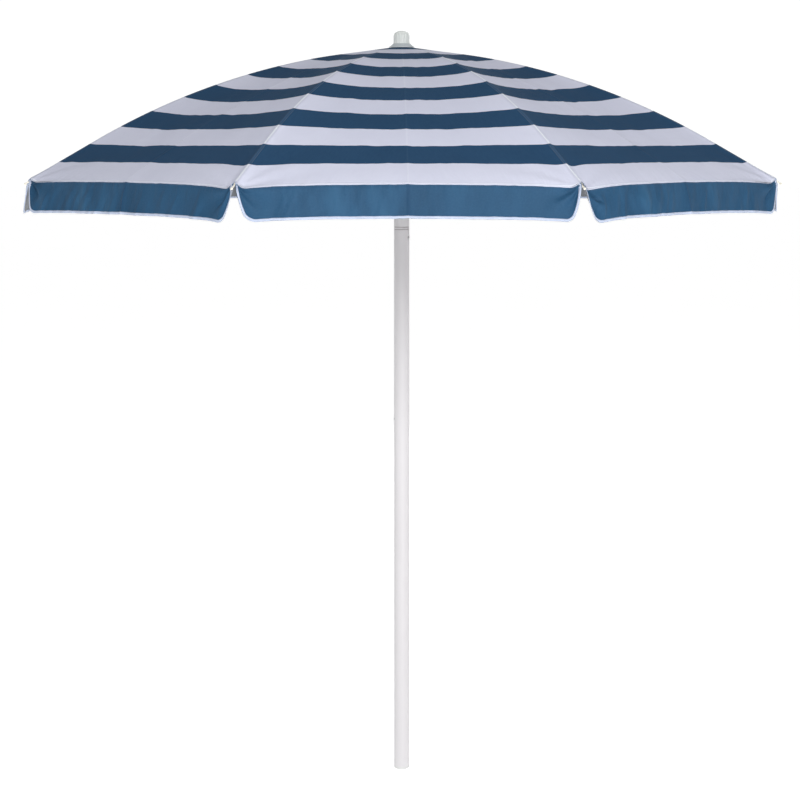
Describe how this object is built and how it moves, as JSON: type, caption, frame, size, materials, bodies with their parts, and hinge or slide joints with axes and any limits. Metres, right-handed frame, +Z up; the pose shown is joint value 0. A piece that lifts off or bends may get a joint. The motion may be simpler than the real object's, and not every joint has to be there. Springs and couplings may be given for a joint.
{
  "type": "beach umbrella",
  "caption": "Folding beach umbrella: striped panelled canopy with a valance on hinged ribs and stretchers, sliding runner, and a round pole with a push-button tilt joint.",
  "frame": {"origin": "centre of the pole's lower end", "axes": "+Z up along the pole; -Y faces the middle of a front canopy panel; ribs at 22.5 degrees either side of each axis"},
  "size_m": [1.4602, 1.4602, 1.5538],
  "materials": {
    "pole": "satin white powder coat",
    "joint": "satin moulded plastic",
    "steel": "zinc-plated, satin",
    "spring": "bright spring steel",
    "hub": "moulded white plastic",
    "cap": "moulded ivory-white plastic, semi-gloss",
    "tip": "moulded ivory plastic",
    "canopy": "woven polyester, navy and white stripes, coated grey inside"
  },
  "bodies": {
    "lower_pole": {"lower_pole": "pole", "pole_foot": "joint", "tilt_tongue": "joint"},
    "tilt_button": {"tilt_button": "spring", "tilt_button_leaf": "spring"},
    "closed_catch": {"closed_catch": "spring"},
    "upper_pole": {"upper_pole": "pole", "tilt_fork": "joint", "tilt_pin": "steel", "crown_hub": "hub", "hub_ring": "steel", "crown_washer": "hub", "finial": "cap"},
    "open_catch": {"open_catch": "spring"},
    "runner": {"runner": "hub", "runner_ring": "steel"},
    "rib_1": {"rib_1": "steel", "rib_tip_1": "tip", "rib_bracket_1": "steel", "canopy_1": "canopy"},
    "stretcher_1": {"stretcher_1": "steel"},
    "rib_2": {"rib_2": "steel", "rib_tip_2": "tip", "rib_bracket_2": "steel", "canopy_2": "canopy"},
    "stretcher_2": {"stretcher_2": "steel"},
    "rib_3": {"rib_3": "steel", "rib_tip_3": "tip", "rib_bracket_3": "steel", "canopy_3": "canopy"},
    "stretcher_3": {"stretcher_3": "steel"},
    "rib_4": {"rib_4": "steel", "rib_tip_4": "tip", "rib_bracket_4": "steel", "canopy_4": "canopy"},
    "stretcher_4": {"stretcher_4": "steel"},
    "rib_5": {"rib_5": "steel", "rib_tip_5": "tip", "rib_bracket_5": "steel", "canopy_5": "canopy"},
    "stretcher_5": {"stretcher_5": "steel"},
    "rib_6": {"rib_6": "steel", "rib_tip_6": "tip", "rib_bracket_6": "steel", "canopy_6": "canopy"},
    "stretcher_6": {"stretcher_6": "steel"},
    "rib_7": {"rib_7": "steel", "rib_tip_7": "tip", "rib_bracket_7": "steel", "canopy_7": "canopy"},
    "stretcher_7": {"stretcher_7": "steel"},
    "rib_8": {"rib_8": "steel", "rib_tip_8": "tip", "rib_bracket_8": "steel", "canopy_8": "canopy"},
    "stretcher_8": {"stretcher_8": "steel"}
  },
  "joints": [
    {"name": "tilt", "type": "hinge", "parent": "lower_pole", "child": "upper_pole", "pos_m": [0, 0, 1.184], "axis": [0, 1, 0], "range_deg": [-30, 0]},
    {"name": "tilt_button_press", "type": "slide", "parent": "lower_pole", "child": "tilt_button", "axis": [0.891, -0.454, 0], "range_m": [-0.0014, 0], "stiffness_N_per_m": 800},
    {"name": "fold", "type": "slide", "parent": "upper_pole", "child": "runner", "axis": [0, 0, -1], "range_m": [0, 0.55195], "deforming": ["canopy_1", "canopy_2", "canopy_3", "canopy_4", "canopy_5", "canopy_6", "canopy_7", "canopy_8"]},
    {"name": "open_catch_press", "type": "hinge", "parent": "upper_pole", "child": "open_catch", "pos_m": [0.01176, -0.00599, 1.2734], "axis": [0.454, 0.891, 0], "range_deg": [0, 4], "stiffness_Nm_per_rad": 1},
    {"name": "closed_catch_press", "type": "hinge", "parent": "lower_pole", "child": "closed_catch", "pos_m": [-0.01176, 0.00599, 0.70765], "axis": [0.454, 0.891, 0], "range_deg": [0, 4], "stiffness_Nm_per_rad": 1},
    {"name": "rib_1_hinge", "type": "hinge", "parent": "upper_pole", "child": "rib_1", "pos_m": [0.02217, 0.00918, 1.5085], "axis": [-0.3827, 0.9239, 0], "range_deg": [0, 69.05]},
    {"name": "stretcher_1_hinge", "type": "hinge", "parent": "runner", "child": "stretcher_1", "pos_m": [0.02494, 0.01033, 1.285], "axis": [0.3827, -0.9239, 0], "range_deg": [0, 61.64]},
    {"name": "rib_2_hinge", "type": "hinge", "parent": "upper_pole", "child": "rib_2", "pos_m": [0.00918, 0.02217, 1.5085], "axis": [-0.9239, 0.3827, 0], "range_deg": [0, 69.05]},
    {"name": "stretcher_2_hinge", "type": "hinge", "parent": "runner", "child": "stretcher_2", "pos_m": [0.01033, 0.02494, 1.285], "axis": [0.9239, -0.3827, 0], "range_deg": [0, 61.64]},
    {"name": "rib_3_hinge", "type": "hinge", "parent": "upper_pole", "child": "rib_3", "pos_m": [-0.00918, 0.02217, 1.5085], "axis": [-0.9239, -0.3827, 0], "range_deg": [0, 69.05]},
    {"name": "stretcher_3_hinge", "type": "hinge", "parent": "runner", "child": "stretcher_3", "pos_m": [-0.01033, 0.02494, 1.285], "axis": [0.9239, 0.3827, 0], "range_deg": [0, 61.64]},
    {"name": "rib_4_hinge", "type": "hinge", "parent": "upper_pole", "child": "rib_4", "pos_m": [-0.02217, 0.00918, 1.5085], "axis": [-0.3827, -0.9239, 0], "range_deg": [0, 69.05]},
    {"name": "stretcher_4_hinge", "type": "hinge", "parent": "runner", "child": "stretcher_4", "pos_m": [-0.02494, 0.01033, 1.285], "axis": [0.3827, 0.9239, 0], "range_deg": [0, 61.64]},
    {"name": "rib_5_hinge", "type": "hinge", "parent": "upper_pole", "child": "rib_5", "pos_m": [-0.02217, -0.00918, 1.5085], "axis": [0.3827, -0.9239, 0], "range_deg": [0, 69.05]},
    {"name": "stretcher_5_hinge", "type": "hinge", "parent": "runner", "child": "stretcher_5", "pos_m": [-0.02494, -0.01033, 1.285], "axis": [-0.3827, 0.9239, 0], "range_deg": [0, 61.64]},
    {"name": "rib_6_hinge", "type": "hinge", "parent": "upper_pole", "child": "rib_6", "pos_m": [-0.00918, -0.02217, 1.5085], "axis": [0.9239, -0.3827, 0], "range_deg": [0, 69.05]},
    {"name": "stretcher_6_hinge", "type": "hinge", "parent": "runner", "child": "stretcher_6", "pos_m": [-0.01033, -0.02494, 1.285], "axis": [-0.9239, 0.3827, 0], "range_deg": [0, 61.64]},
    {"name": "rib_7_hinge", "type": "hinge", "parent": "upper_pole", "child": "rib_7", "pos_m": [0.00918, -0.02217, 1.5085], "axis": [0.9239, 0.3827, 0], "range_deg": [0, 69.05]},
    {"name": "stretcher_7_hinge", "type": "hinge", "parent": "runner", "child": "stretcher_7", "pos_m": [0.01033, -0.02494, 1.285], "axis": [-0.9239, -0.3827, 0], "range_deg": [0, 61.64]},
    {"name": "rib_8_hinge", "type": "hinge", "parent": "upper_pole", "child": "rib_8", "pos_m": [0.02217, -0.00918, 1.5085], "axis": [0.3827, 0.9239, 0], "range_deg": [0, 69.05]},
    {"name": "stretcher_8_hinge", "type": "hinge", "parent": "runner", "child": "stretcher_8", "pos_m": [0.02494, -0.01033, 1.285], "axis": [-0.3827, -0.9239, 0], "range_deg": [0, 61.64]}
  ],
  "couplings": [
    {"joint": "rib_1_hinge", "follows": "fold", "rad_per_m": 2.1818},
    {"joint": "stretcher_1_hinge", "follows": "fold", "rad_per_m": 1.9475},
    {"joint": "rib_2_hinge", "follows": "fold", "rad_per_m": 2.1818},
    {"joint": "stretcher_2_hinge", "follows": "fold", "rad_per_m": 1.9475},
    {"joint": "rib_3_hinge", "follows": "fold", "rad_per_m": 2.1818},
    {"joint": "stretcher_3_hinge", "follows": "fold", "rad_per_m": 1.9475},
    {"joint": "rib_4_hinge", "follows": "fold", "rad_per_m": 2.1818},
    {"joint": "stretcher_4_hinge", "follows": "fold", "rad_per_m": 1.9475},
    {"joint": "rib_5_hinge", "follows": "fold", "rad_per_m": 2.1818},
    {"joint": "stretcher_5_hinge", "follows": "fold", "rad_per_m": 1.9475},
    {"joint": "rib_6_hinge", "follows": "fold", "rad_per_m": 2.1818},
    {"joint": "stretcher_6_hinge", "follows": "fold", "rad_per_m": 1.9475},
    {"joint": "rib_7_hinge", "follows": "fold", "rad_per_m": 2.1818},
    {"joint": "stretcher_7_hinge", "follows": "fold", "rad_per_m": 1.9475},
    {"joint": "rib_8_hinge", "follows": "fold", "rad_per_m": 2.1818},
    {"joint": "stretcher_8_hinge", "follows": "fold", "rad_per_m": 1.9475}
  ]
}
